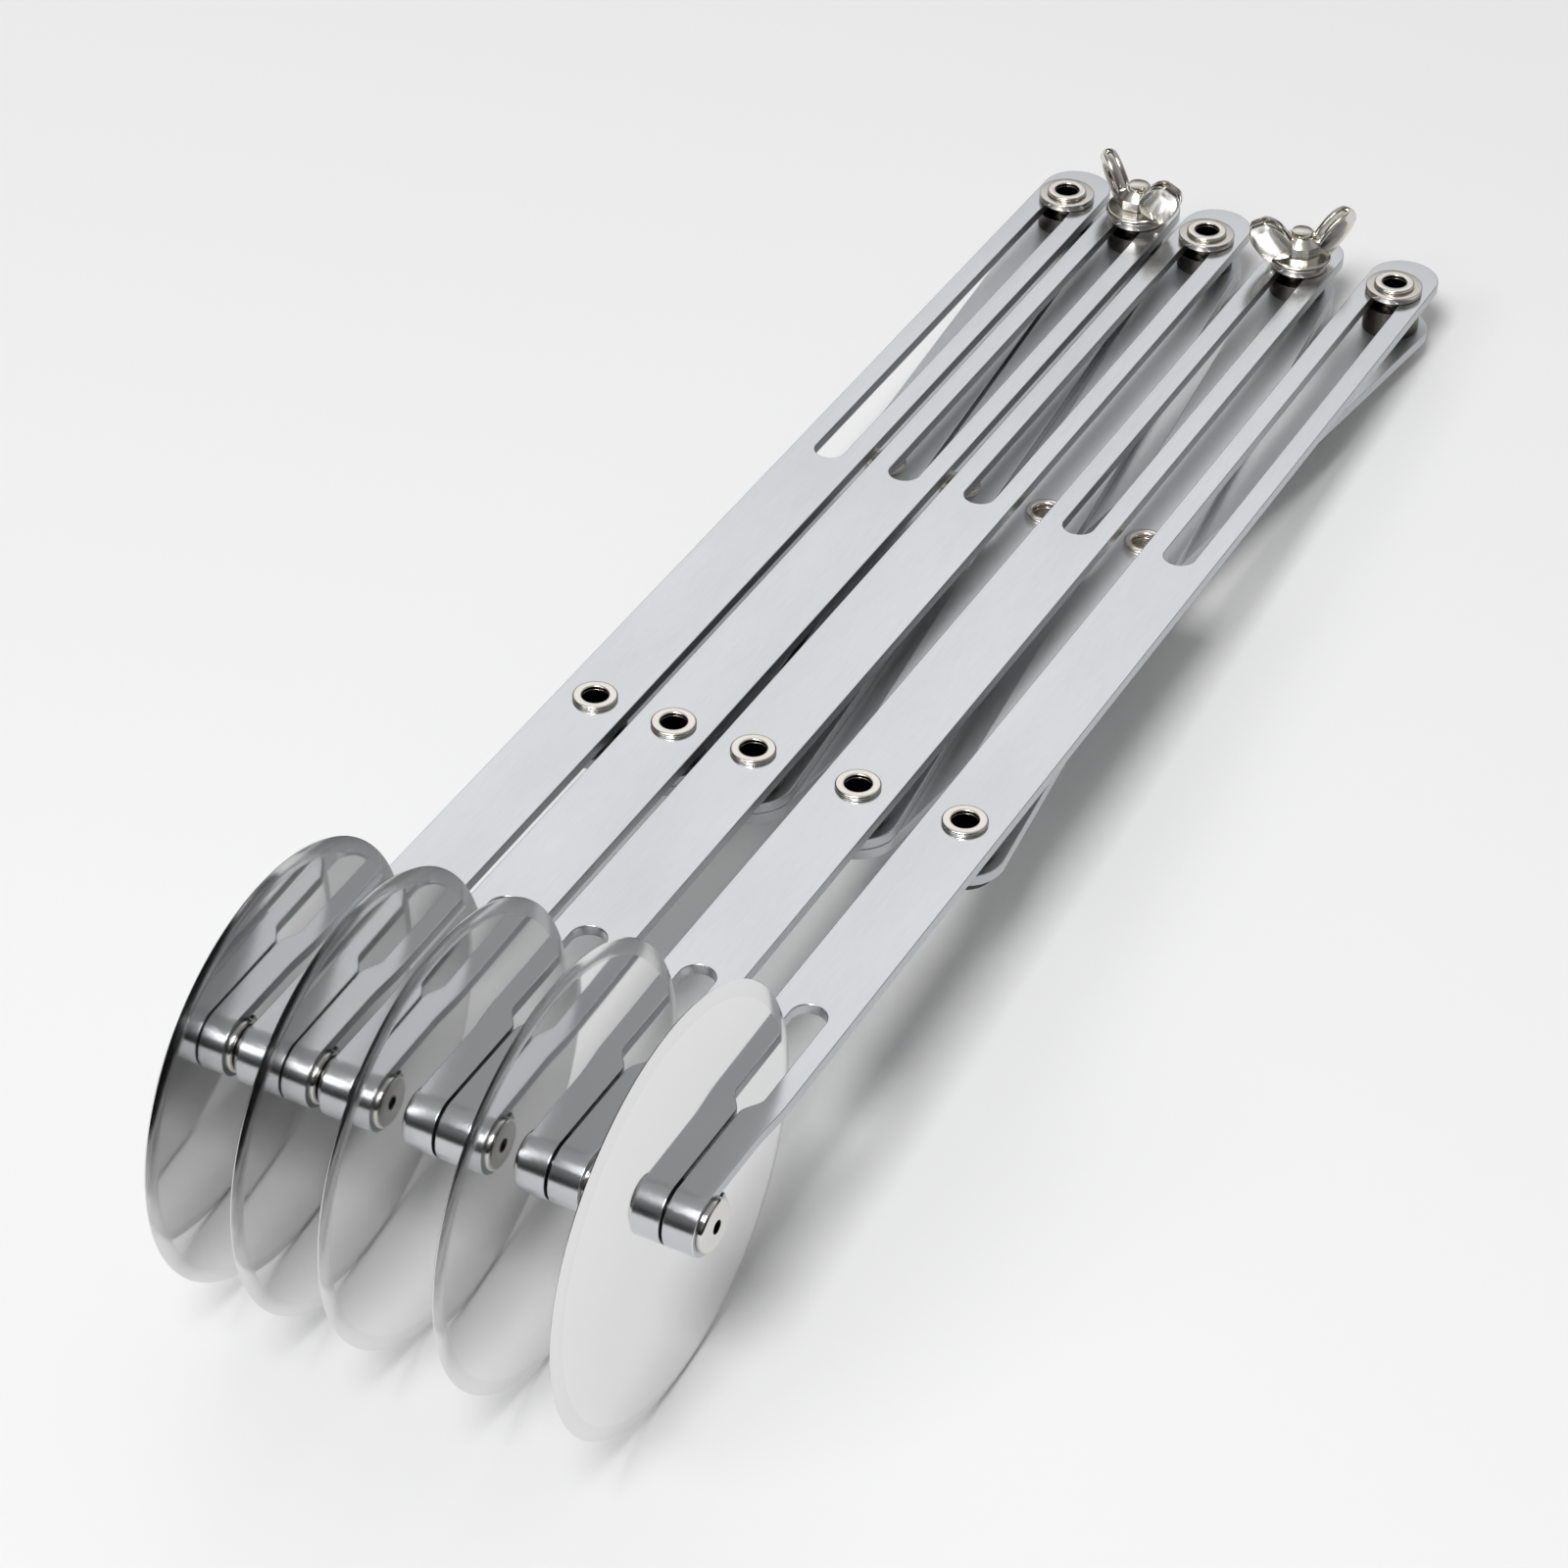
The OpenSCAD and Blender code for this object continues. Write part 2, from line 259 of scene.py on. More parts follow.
def rear_y(i):
    """How far behind its front pivot the rear pivot of bar i is at rest."""
    return LINK_LEN * math.cos(lean(min(i, BAR_COUNT - 1)))


def srgb(hex_code):
    """Linear colour with alpha from an sRGB hex code."""
    parts = [int(hex_code[k:k + 2], 16) / 255 for k in (1, 3, 5)]
    linear = [c / 12.92 if c <= 0.04045 else ((c + 0.055) / 1.055) ** 2.4 for c in parts]
    return (*linear, 1.0)


def add_node(tree, kind, inputs=None, **settings):
    """Adds a node with its settings.

    Each input is a value, a socket to link, or a node whose first output is linked."""
    node = tree.nodes.new(kind)
    for key, value in settings.items():
        setattr(node, key, value)
    for key, value in (inputs or {}).items():
        if isinstance(value, bpy.types.Node):
            value = value.outputs[0]
        if isinstance(value, bpy.types.NodeSocket):
            tree.links.new(value, node.inputs[key])
        else:
            node.inputs[key].default_value = value
    return node


def speckle(tree, size_mm, detail):
    """An uneven pattern of that size along x, y and z, in the piece's own coordinates."""
    place = add_node(tree, "ShaderNodeTexCoord")
    scale = [1 / (MM * size) for size in size_mm]
    mapped = add_node(tree, "ShaderNodeMapping", {"Vector": place.outputs["Object"], "Scale": scale})
    pattern = add_node(tree, "ShaderNodeTexNoise", {"Vector": mapped, "Scale": 1.0, "Detail": detail})
    return pattern.outputs["Fac"]


def metal(name, colour, roughness, spread, grain_mm, grain_depth_mm, cloud_mm=None, cloud_colour=None):
    """A metal with a grain in its roughness and, where asked for, wide soft clouds in its colour.

    The roughness varies by spread to either side. grain_mm and cloud_mm are the patterns' sizes along
    x, y and z, and grain_depth_mm is the grain's relief."""
    material = bpy.data.materials.new(name)
    material.use_nodes = True
    tree = material.node_tree
    shader = tree.nodes["Principled BSDF"]
    shader.inputs["Base Color"].default_value = srgb(colour)
    shader.inputs["Metallic"].default_value = 1.0
    grain = speckle(tree, grain_mm, GRAIN_DETAIL)
    limits = {"To Min": roughness - spread, "To Max": roughness + spread}
    rough = add_node(tree, "ShaderNodeMapRange", {"Value": grain, **limits})
    tree.links.new(rough.outputs["Result"], shader.inputs["Roughness"])
    if grain_depth_mm:
        relief = {"Strength": BUMP_STRENGTH, "Distance": grain_depth_mm * MM}
        bump = add_node(tree, "ShaderNodeBump", {"Height": grain, **relief})
        tree.links.new(bump.outputs["Normal"], shader.inputs["Normal"])
    if cloud_mm:
        colours = {MIX_COLOUR_A: srgb(colour), MIX_COLOUR_B: srgb(cloud_colour)}
        clouds = speckle(tree, cloud_mm, CLOUD_DETAIL)
        tint = add_node(tree, "ShaderNodeMix", {"Factor": clouds, **colours}, data_type="RGBA")
        tree.links.new(tint.outputs[MIX_COLOUR_OUT], shader.inputs["Base Color"])
    return material


# Cold-rolled stainless strip, satin along its length: streaks that soften reflections, and wide
# greyer clouds. The real streaks are too fine to show, so they are drawn 0.35 mm wide
satin_strip = metal("satin_stainless_strip", "#e3e5e7", roughness=0.22, spread=0.04,
                    grain_mm=(0.35, 18, 0.35), grain_depth_mm=0.002,
                    cloud_mm=(14, 45, 14), cloud_colour="#cfd1d5")
# The links' strip, brushed duller than the bars: a broad soft sheen with no clear reflections,
# its streaks drawn as wide as the bars'. Its colour is paler than the bars' strip of the same steel:
# painted light that brightens the links where they lie in shade under the bars
link_strip_painted_light = metal("brushed_stainless_link_painted_light", "#f0f1f2", roughness=0.42, spread=0.04,
                   grain_mm=(0.35, 18, 0.35), grain_depth_mm=0.001)
# Sheared edges of the strip: rougher than the bars' rolled faces, and greyer, partly their own duller
# finish and partly painted shade in the narrow gaps between strips
sheared_edge_and_shade = metal("sheared_strip_edge_and_shade", "#b9bbbe", roughness=0.35, spread=0.06,
                     grain_mm=(0.3, 0.3, 3), grain_depth_mm=0.004)
# Mirror-polished stainless disc: clear reflections with a faint unevenness
mirror_disc = metal("mirror_polished_stainless", "#e9e9e9", roughness=0.045, spread=0.015,
                    grain_mm=(9, 9, 9), grain_depth_mm=0.0)
# Ground bevel at the disc's rim, duller than its faces
ground_bevel = metal("ground_stainless_bevel", "#e4e4e4", roughness=0.14, spread=0.04,
                     grain_mm=(0.5, 4, 4), grain_depth_mm=0.001)
# Turned and headed steel rivets, polished bright
rivet_steel = metal("polished_rivet_steel", "#d6d5d2", roughness=0.13, spread=0.04,
                    grain_mm=(2, 2, 2), grain_depth_mm=0.001)
# Nickel-plated brass eyelets, slightly warm
eyelet_nickel = metal("nickel_plated_eyelet", "#eae5dd", roughness=0.2, spread=0.05,
                      grain_mm=(1.2, 1.2, 1.2), grain_depth_mm=0.003)
# Insides of eyelets and rivets, painted dark brown: painted shade deep in the bores
bore_painted_shade = metal("eyelet_bore_painted_shade", "#241f1b", roughness=0.4, spread=0.05,
                       grain_mm=(0.8, 0.8, 0.8), grain_depth_mm=0.0)
# Nickel-plated pressed steel of nuts and bolts: a soft, slightly warm shine
clamp_nickel = metal("nickel_plated_pressing", "#dedad2", roughness=0.2, spread=0.05,
                     grain_mm=(1.6, 1.6, 1.6), grain_depth_mm=0.004)
# Stamped washers: duller steel, with a soft shine
washer_steel = metal("stamped_washer_steel", "#d8d4ce", roughness=0.24, spread=0.06,
                     grain_mm=(1.0, 1.0, 1.0), grain_depth_mm=0.003)
# Spacers between the layers, painted near black: painted shade under the bars and washers, with a soft
# shine
spacer_painted_shade = metal("spacer_steel_painted_shade", "#45423f", roughness=0.25, spread=0.05,
                     grain_mm=(1.0, 1.0, 1.0), grain_depth_mm=0.002)


def arc(centre, radius, start, end, steps):
    """Points on an arc, angles in degrees, both ends included."""
    points = []
    for k in range(steps + 1):
        a = math.radians(start + (end - start) * k / steps)
        points.append((centre[0] + radius * math.cos(a), centre[1] + radius * math.sin(a)))
    return points


def eased(start, end):
    """Points on a smooth step from one point to another along y, both ends included."""
    points = []
    for k in range(NECK_STEPS + 1):
        t = k / NECK_STEPS
        ease = t * t * (3 - 2 * t)
        points.append((start[0] + (end[0] - start[0]) * ease, start[1] + (end[1] - start[1]) * t))
    return points


def ring_points(centre, diameter):
    """Points round a circle."""
    return arc(centre, diameter / 2, 0, 360, HOLE_STEPS)[:-1]


def slot_points(width, low_y, high_y):
    """Points round a slot along y, with round ends about the two heights."""
    rear = arc((0, high_y), width / 2, 0, 180, SLOT_STEPS)
    return rear + arc((0, low_y), width / 2, 180, 360, SLOT_STEPS)


def new_piece(name, mesh, body, nodes, materials):
    """Links a finished mesh as a piece that rides on a body and stands for CAD nodes."""
    for face in mesh.polygons:
        face.use_smooth = True
    mesh.set_sharp_from_angle(angle=SMOOTH_ANGLE)
    for material in materials:
        mesh.materials.append(material)
    piece = bpy.data.objects.new(name, mesh)
    bpy.context.scene.collection.objects.link(piece)
    even = piece.modifiers.new("even_faces", "WEIGHTED_NORMAL")
    even.keep_sharp = True
    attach(piece, body)
    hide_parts(*nodes)
    return piece


def as_mesh(bm):
    """A bmesh as a mesh. The bmesh is freed."""
    mesh = bpy.data.meshes.new("mesh")
    bm.to_mesh(mesh)
    bm.free()
    return mesh


def placed(bm, matrix):
    """Finishes a bmesh as a mesh in the row frame."""
    bmesh.ops.transform(bm, matrix=matrix, verts=bm.verts)
    bmesh.ops.recalc_face_normals(bm, faces=bm.faces)
    return as_mesh(bm)


def merged(parts):
    """Several bmeshes as one."""
    whole = bmesh.new()
    for bm in parts:
        mesh = as_mesh(bm)
        whole.from_mesh(mesh)
        bpy.data.meshes.remove(mesh)
    return whole


def held(mesh):
    """A passing object that holds a mesh for a modifier."""
    holder = bpy.data.objects.new("holder", mesh)
    bpy.context.scene.collection.objects.link(holder)
    return holder


def drop(holder):
    """Removes a passing object and its mesh."""
    mesh = holder.data
    bpy.data.objects.remove(holder)
    bpy.data.meshes.remove(mesh)


def modified(holder):
    """The bmesh that a passing object's modifiers give. The object is then removed."""
    depsgraph = bpy.context.evaluated_depsgraph_get()
    mesh = bpy.data.meshes.new_from_object(holder.evaluated_get(depsgraph))
    bm = bmesh.new()
    bm.from_mesh(mesh)
    bpy.data.meshes.remove(mesh)
    drop(holder)
    return bm


def grown(tree, sizes):
    """The bmesh that a geometry tree gives for these input sizes, in millimetres."""
    holder = held(bpy.data.meshes.new("holder"))
    modifier = holder.modifiers.new("grow", "NODES")
    modifier.node_group = tree
    for item in tree.interface.items_tree:
        if item.in_out == "INPUT":
            modifier[item.identifier] = float(sizes[item.name])
    return modified(holder)


def cut_away(bm, cutter):
    """The first bmesh less the second."""
    holder = held(as_mesh(bm))
    tool = held(as_mesh(cutter))
    modifier = holder.modifiers.new("cut", "BOOLEAN")
    modifier.operation = "DIFFERENCE"
    modifier.solver = "EXACT"
    modifier.object = tool
    left = modified(holder)
    drop(tool)
    return left


def is_rim(edge):
    """True for an edge between a plate's flat face and its side wall."""
    flats = [abs(face.normal.z) > FLAT_SLOPE for face in edge.link_faces]
    return flats[0] != flats[1]


def plate(loops, low, high):
    """A flat plate with holes and rounded edges, as a bmesh: the first loop is its outline.

    Its side walls have the second material."""
    bm = bmesh.new()
    edges = []
    for loop in loops:
        verts = [bm.verts.new((x, y, low)) for x, y in loop]
        edges += [bm.edges.new((verts[k - 1], verts[k])) for k in range(len(verts))]
    bmesh.ops.triangle_fill(bm, use_beauty=True, use_dissolve=False, edges=edges)
    bmesh.ops.recalc_face_normals(bm, faces=bm.faces)
    raised = bmesh.ops.extrude_face_region(bm, geom=bm.faces[:])
    lifted = [item for item in raised["geom"] if isinstance(item, bmesh.types.BMVert)]
    bmesh.ops.translate(bm, verts=lifted, vec=(0, 0, high - low))
    bmesh.ops.recalc_face_normals(bm, faces=bm.faces)
    rims = [e for e in bm.edges if len(e.link_faces) == 2 and is_rim(e)]
    bmesh.ops.bevel(bm, geom=rims, offset=EDGE, segments=EDGE_SEGMENTS, profile=ROUND_PROFILE,
                    affect="EDGES")
    bm.normal_update()
    for face in bm.faces:
        # Side walls take the second material, which carries painted shade in the gaps
        face.material_index = int(abs(face.normal.z) < WALL_SLOPE)
    return bm


def turned(profile, steps=TURN_STEPS):
    """A profile of radius and height turned about z, as a bmesh.

    The profile closes on itself, unless it begins and ends on the axis."""
    bm = bmesh.new()
    on_axis = profile[0][0] == 0
    rows = []
    for k in range(steps):
        a = 2 * math.pi * k / steps
        rows.append([bm.verts.new((r * math.cos(a), r * math.sin(a), z)) for r, z in profile])
    for k in range(steps):
        this, following = rows[k - 1], rows[k]
        for j in range(int(on_axis), len(profile)):
            bm.faces.new((this[j - 1], following[j - 1], following[j], this[j]))
    if on_axis:
        bmesh.ops.remove_doubles(bm, verts=bm.verts, dist=POLE_WELD)
    return bm


def face_radius(face):
    """Distance of a face's middle from the z axis."""
    middle = face.calc_center_median()
    return math.hypot(middle.x, middle.y)


def bar_loops():
    """Outline, pivot hole and slot of a bar laid out flat, its prongs still straight."""
    curl_len = CURL_SWEEP * (CURL_D - BAR_T) / 2
    tip_y = -PIVOT_TO_AXLE - curl_len
    step_y = FORK_NECK + FORK_STEP - PIVOT_TO_AXLE
    neck_y = FORK_NECK - PIVOT_TO_AXLE
    taper_y = FORK_NECK - FORK_STEP - PIVOT_TO_AXLE
    wide = FORK_GAP_W / 2
    half = BAR_W / 2
    outline = arc((0, BAR_END_Y - half), half, 0, 180, BAR_END_STEPS)
    outline += eased((-half, step_y), (-CURL_HALF, taper_y))
    outline += [(-CURL_HALF, tip_y), (-SLIT_HALF, tip_y)]
    outline += eased((-SLIT_HALF, neck_y), (-wide, step_y))
    outline += arc((0, FORK_END_Y - wide), wide, 180, 0, SLOT_STEPS)
    outline += eased((wide, step_y), (SLIT_HALF, neck_y))
    outline += [(SLIT_HALF, tip_y), (CURL_HALF, tip_y)]
    outline += eased((CURL_HALF, taper_y), (half, step_y))
    return [outline, ring_points((0, 0), PIN_HOLE), slot_points(SLOT_W, SLOT_FRONT_Y, SLOT_REAR_Y)]


def curl_prongs(bm):
    """Rolls what lies in front of the axle down and round it, as the strip is rolled."""
    radius = CURL_D / 2
    step = CURL_SWEEP / CURL_STEPS
    mid = radius - BAR_T / 2
    for k in range(CURL_STEPS):
        cut_y = -PIVOT_TO_AXLE - k * step * mid
        everything = bm.verts[:] + bm.edges[:] + bm.faces[:]
        bmesh.ops.bisect_plane(bm, geom=everything, plane_co=(0, cut_y, 0), plane_no=(0, 1, 0))
    for vert in bm.verts:
        run = -PIVOT_TO_AXLE - vert.co.y
        if run > 0:
            angle = run / mid
            reach = radius + vert.co.z
            vert.co.y = -PIVOT_TO_AXLE - reach * math.sin(angle)
            vert.co.z = reach * math.cos(angle) - radius


def make_bar(i):
    """A bar with its slot and its curled fork."""
    bm = plate(bar_loops(), BAR_UNDER, 0)
    curl_prongs(bm)
    mesh = placed(bm, FLAT @ Matrix.Translation((bar_x[i], 0, 0)))
    new_piece(f"forked_bar_{i}", mesh, f"bar_{i}", [f"wheel_bar_{i}"],
              [satin_strip, sheared_edge_and_shade])


def rear_hole(layer, i):
    """Diameter of a link's rear hole: close round its pin, but wide where the two halves meet."""
    bar = i if layer == "upper" else i + 1
    pin = BOLT_D if bar in NUT_TURN else EYELET_D
    if layer == "upper":
        return pin + 2 * PIN_CLEARANCE
    return pin + 2 * (FREE_PIVOT_PLAY if bar == MIDDLE_BAR else 2 * PIN_CLEARANCE)


def make_link(layer, i):
    """The upper or lower link between bars i and i + 1, with its three holes."""
    upper = layer == "upper"
    low, high = (UPPER_UNDER, UPPER_TOP) if upper else (LOWER_UNDER, LOWER_TOP)
    holes = [ring_points((0, y), PIN_HOLE) for y in (0, LINK_LEN / 2)]
    holes.append(ring_points((0, LINK_LEN), rear_hole(layer, i)))
    bm = plate([slot_points(LINK_W, 0, LINK_LEN)] + holes, low, high)
    start = i + 1 if upper else i
    turn = lean(i) if upper else -lean(i)
    place = FLAT @ Matrix.Translation((bar_x[start], 0, 0)) @ Matrix.Rotation(turn, 4, "Z")
    mesh = placed(bm, place)
    # The links' paler colour is painted light
    new_piece(f"{layer}_cross_link_{i}", mesh, f"{layer}_{i}", [f"{layer}_link_{i}"],
              [link_strip_painted_light, sheared_edge_and_shade])


def axle_place(i):
    """Matrix that puts a turned piece's z axis along the axle of bar i."""
    axle = Matrix.Translation((bar_x[i], -PIVOT_TO_AXLE, -CURL_D / 2))
    return FLAT @ axle @ Matrix.Rotation(math.pi / 2, 4, "Y")


def make_wheel(i):
    """A disc wheel with a bevelled rim, which has the second material."""
    half, edge = WHEEL_T / 2, WHEEL_EDGE_T / 2
    rim = WHEEL_D / 2
    flat = rim - WHEEL_BEVEL_W
    bore = WHEEL_BORE / 2
    profile = [(bore, -half), (flat, -half), (rim - edge, -edge), (rim, 0), (rim - edge, edge)]
    profile += [(flat, half), (bore, half)]
    bm = turned(profile, WHEEL_STEPS)
    for face in bm.faces:
        face.material_index = int(face_radius(face) > flat)
    mesh = placed(bm, axle_place(i))
    new_piece(f"disc_wheel_{i}", mesh, f"wheel_{i}", [f"cutting_wheel_{i}"],
              [mirror_disc, ground_bevel])


def make_rivet(i):
    """A rivet with two domed heads, each with a shallow dish around its bore."""
    bore, head, shank = RIVET_BORE / 2, RIVET_HEAD_D / 2, RIVET_SHANK_D / 2
    seat, top = RIVET_GRIP / 2, RIVET_GRIP / 2 + RIVET_HEAD_H
    round_r = RIVET_ROUND_SHARE * RIVET_HEAD_H
    dome = arc((head - round_r, top - round_r), round_r, 0, 90, HEAD_EDGE_STEPS)
    dish = [(bore + RIVET_DISH_W, top), (bore, top - RIVET_DISH_W)]
    upper = [(shank, seat), (head, seat)] + dome + dish
    profile = [(r, -z) for r, z in reversed(upper)] + upper
    bm = turned(profile)
    # The bore and its dish get the second material, the painted shade
    for face in bm.faces:
        face.material_index = int(face_radius(face) < bore + RIVET_DISH_W)
    mesh = placed(bm, axle_place(i))
    new_piece(f"headed_rivet_{i}", mesh, f"bar_{i}", [f"axle_rivet_{i}"],
              [rivet_steel, bore_painted_shade])


def node_tree(name, inputs):
    """A geometry tree with named number inputs and one geometry output."""
    tree = bpy.data.node_groups.new(name, "GeometryNodeTree")
    tree.interface.new_socket("Geometry", in_out="OUTPUT", socket_type="NodeSocketGeometry")
    for label in inputs:
        tree.interface.new_socket(label, in_out="INPUT", socket_type="NodeSocketFloat")
    return tree, add_node(tree, "NodeGroupInput").outputs


def end_tree(tree, geometry, material):
    """Realizes and paints a tree's geometry and sends it out."""
    real = add_node(tree, "GeometryNodeRealizeInstances", {"Geometry": geometry})
    painted = add_node(tree, "GeometryNodeSetMaterial", {"Geometry": real, "Material": material})
    add_node(tree, "NodeGroupOutput", {"Geometry": painted})


def ring_sweep(tree, inner, outer, low, high, edge):
    """A ring with rounded edges, between two radii and two heights."""
    width = add_node(tree, "ShaderNodeMath", {0: outer, 1: inner}, operation="SUBTRACT")
    height = add_node(tree, "ShaderNodeMath", {0: high, 1: low}, operation="SUBTRACT")
    radii = add_node(tree, "ShaderNodeMath", {0: inner, 1: outer}, operation="ADD")
    middle = add_node(tree, "ShaderNodeMath", {0: radii, 1: 2.0}, operation="DIVIDE")
    heights = add_node(tree, "ShaderNodeMath", {0: low, 1: high}, operation="ADD")
    down = add_node(tree, "ShaderNodeMath", {0: heights, 1: -2.0}, operation="DIVIDE")
    box = add_node(tree, "GeometryNodeCurvePrimitiveQuadrilateral", {"Width": width, "Height": height})
    rounding = {"Count": RING_EDGE_STEPS, "Radius": edge, "Limit Radius": True}
    soft = add_node(tree, "GeometryNodeFilletCurve", {"Curve": box, **rounding}, mode="POLY")
    shift = add_node(tree, "ShaderNodeCombineXYZ", {"Y": down})
    moved = add_node(tree, "GeometryNodeTransform", {"Geometry": soft, "Translation": shift})
    circle = {"Resolution": RING_STEPS, "Radius": middle}
    path = add_node(tree, "GeometryNodeCurvePrimitiveCircle", circle)
    return add_node(tree, "GeometryNodeCurveToMesh", {"Curve": path, "Profile Curve": moved})


def washer_tree(material):
    """Washer or spacer: one flat ring."""
    tree, given = node_tree("stamped_ring", ["Bore radius", "Outer radius", "Low", "High"])
    ring = ring_sweep(tree, given["Bore radius"], given["Outer radius"], given["Low"], given["High"], EDGE)
    end_tree(tree, ring, material)
    return tree


def eyelet_tree(material):
    """Hollow eyelet: a tube with a rolled rim at each end."""
    radii = ["Bore radius", "Tube radius", "Rim radius"]
    tree, given = node_tree("rolled_eyelet", radii + ["Rim height", "Rim edge", "Low", "High"])
    bore, tube, rim = [given[label] for label in radii]
    low, high, rim_h = given["Low"], given["High"], given["Rim height"]
    top = add_node(tree, "ShaderNodeMath", {0: high, 1: rim_h}, operation="ADD")
    foot = add_node(tree, "ShaderNodeMath", {0: low, 1: rim_h}, operation="SUBTRACT")
    rings = [
        ring_sweep(tree, bore, tube, low, high, TUBE_EDGE),
        ring_sweep(tree, bore, rim, high, top, given["Rim edge"]),
        ring_sweep(tree, bore, rim, foot, low, given["Rim edge"]),
    ]
    joined = add_node(tree, "GeometryNodeJoinGeometry")
    for ring in rings:
        tree.links.new(ring.outputs["Mesh"], joined.inputs["Geometry"])
    end_tree(tree, joined, material)
    return tree


def thread_tree(material):
    """Screw thread: a ridge wound round a core, between two heights."""
    tree, given = node_tree("wound_thread", ["Core radius", "Pitch", "Low", "High"])
    core = given["Core radius"]
    depth = add_node(tree, "ShaderNodeMath", {0: given["Pitch"], 1: 2.0}, operation="DIVIDE")
    height = add_node(tree, "ShaderNodeMath", {0: given["High"], 1: given["Low"]}, operation="SUBTRACT")
    turns = add_node(tree, "ShaderNodeMath", {0: height, 1: given["Pitch"]}, operation="DIVIDE")
    winding = {"Rotations": turns, "Start Radius": core, "End Radius": core, "Height": height}
    coil = add_node(tree, "GeometryNodeCurveSpiral", {"Resolution": THREAD_STEPS, **winding})
    circle = {"Resolution": THREAD_SIDES, "Radius": depth}
    ridge = add_node(tree, "GeometryNodeCurvePrimitiveCircle", circle)
    ends = {"Fill Caps": True}
    wound = add_node(tree, "GeometryNodeCurveToMesh", {"Curve": coil, "Profile Curve": ridge, **ends})
    lift = add_node(tree, "ShaderNodeCombineXYZ", {"Z": given["Low"]})
    raised = add_node(tree, "GeometryNodeTransform", {"Geometry": wound, "Translation": lift})
    end_tree(tree, raised, material)
    return tree


stamped_ring = washer_tree(washer_steel)
rolled_eyelet = eyelet_tree(eyelet_nickel)
wound_thread = thread_tree(clamp_nickel)


def make_eyelet(name, node, body, at, low, high,
                bore_material=bore_painted_shade, rim_h=RIM_H, rim_edge=RIM_EDGE):
    """A hollow eyelet between two heights, its rims beyond them."""
    radii = {"Bore radius": EYELET_BORE / 2, "Tube radius": EYELET_D / 2, "Rim radius": RIM_D / 2}
    heights = {"Rim height": rim_h, "Rim edge": rim_edge, "Low": low, "High": high}
    bm = grown(rolled_eyelet, {**radii, **heights})
    # Faces round the bore get the second material: painted shade in the pivots' eyelets, plain nickel at
    # the crossings
    for face in bm.faces:
        face.material_index = int(face_radius(face) < EYELET_BORE / 2 + BORE_SHADE_W)
    mesh = placed(bm, FLAT @ Matrix.Translation(at))
    new_piece(name, mesh, body, [node], [eyelet_nickel, bore_material])


def make_rings(name, node, body, at, spans, bore, material):
    """A washer or spacer for each span of heights."""
    radii = {"Bore radius": bore / 2, "Outer radius": WASHER_D / 2}
    parts = [grown(stamped_ring, {**radii, "Low": low, "High": high}) for low, high in spans]
    mesh = placed(merged(parts), FLAT @ Matrix.Translation(at))
    new_piece(name, mesh, body, [node], [material])


def make_front_pivot(i):
    """The front eyelet of bar i and the spacers that fill its layers."""
    at = (bar_x[i], 0, 0)
    make_eyelet(f"front_pivot_eyelet_{i}", f"front_eyelet_{i}", f"bar_{i}", at, STACK_UNDER, 0)
    spans = [(UPPER_UNDER if i == 1 else UPPER_TOP + LAYER_GAP, BAR_UNDER)]
    if i == BAR_COUNT:
        spans.append((STACK_UNDER, LOWER_TOP))
    # The spacers carry painted shade between the layers
    make_rings(f"front_pivot_spacers_{i}", f"front_spacers_{i}", f"bar_{i}", at, spans, PIN_HOLE,
               spacer_painted_shade)


def make_rear_pivot(i):
    """The spacers and washers of bar i's rear pivot, and its eyelet where no bolt clamps it."""
    at = (bar_x[i], rear_y(i), 0)
    body = f"upper_{i}" if i < BAR_COUNT else f"lower_{i - 1}"
    clamped = i in NUT_TURN
    bore = (BOLT_D if clamped else EYELET_D) + LAYER_GAP
    spans = [(LOWER_TOP if i == BAR_COUNT else UPPER_TOP, BAR_UNDER - LAYER_GAP)]
    if i == 1:
        spans.append((STACK_UNDER, UPPER_UNDER))
    # The spacers carry painted shade under the washers
    make_rings(f"rear_pivot_spacers_{i}", f"rear_spacers_{i}", body, at, spans, bore, spacer_painted_shade)
    discs = [(WASHER_UNDER, STACK_UNDER)]
    if not clamped:
        discs.append((LAYER_GAP, WASHER_TOP))
        make_eyelet(f"rear_pivot_eyelet_{i}", f"rear_eyelet_{i}", body, at, WASHER_UNDER, WASHER_TOP)
    make_rings(f"rear_pivot_washers_{i}", f"rear_washers_{i}", body, at, discs, bore, washer_steel)


def make_cross_eyelet(i):
    """The eyelet where the links between bars i and i + 1 cross."""
    at = ((bar_x[i] + bar_x[i + 1]) / 2, LINK_LEN / 2 * math.cos(lean(i)), 0)
    make_eyelet(f"crossing_eyelet_{i}", f"cross_eyelet_{i}", f"upper_{i}", at, STACK_UNDER, UPPER_TOP,
                eyelet_nickel, CROSS_RIM_H, CROSS_RIM_EDGE)


def slotted(body, under):
    """A bolt's body with a screwdriver's slot cut along y in the underside of its head."""
    pole = min(body.verts, key=lambda vert: (vert.co - Vector((0, 0, under))).length)
    bmesh.ops.dissolve_verts(body, verts=[pole])
    slot = bmesh.new()
    size = Matrix.Diagonal((BOLT_SLOT_W, 2 * BOLT_HEAD_D, 2 * BOLT_SLOT_H, 1))
    bmesh.ops.create_cube(slot, size=1, matrix=Matrix.Translation((0, 0, under)) @ size)
    return cut_away(body, slot)


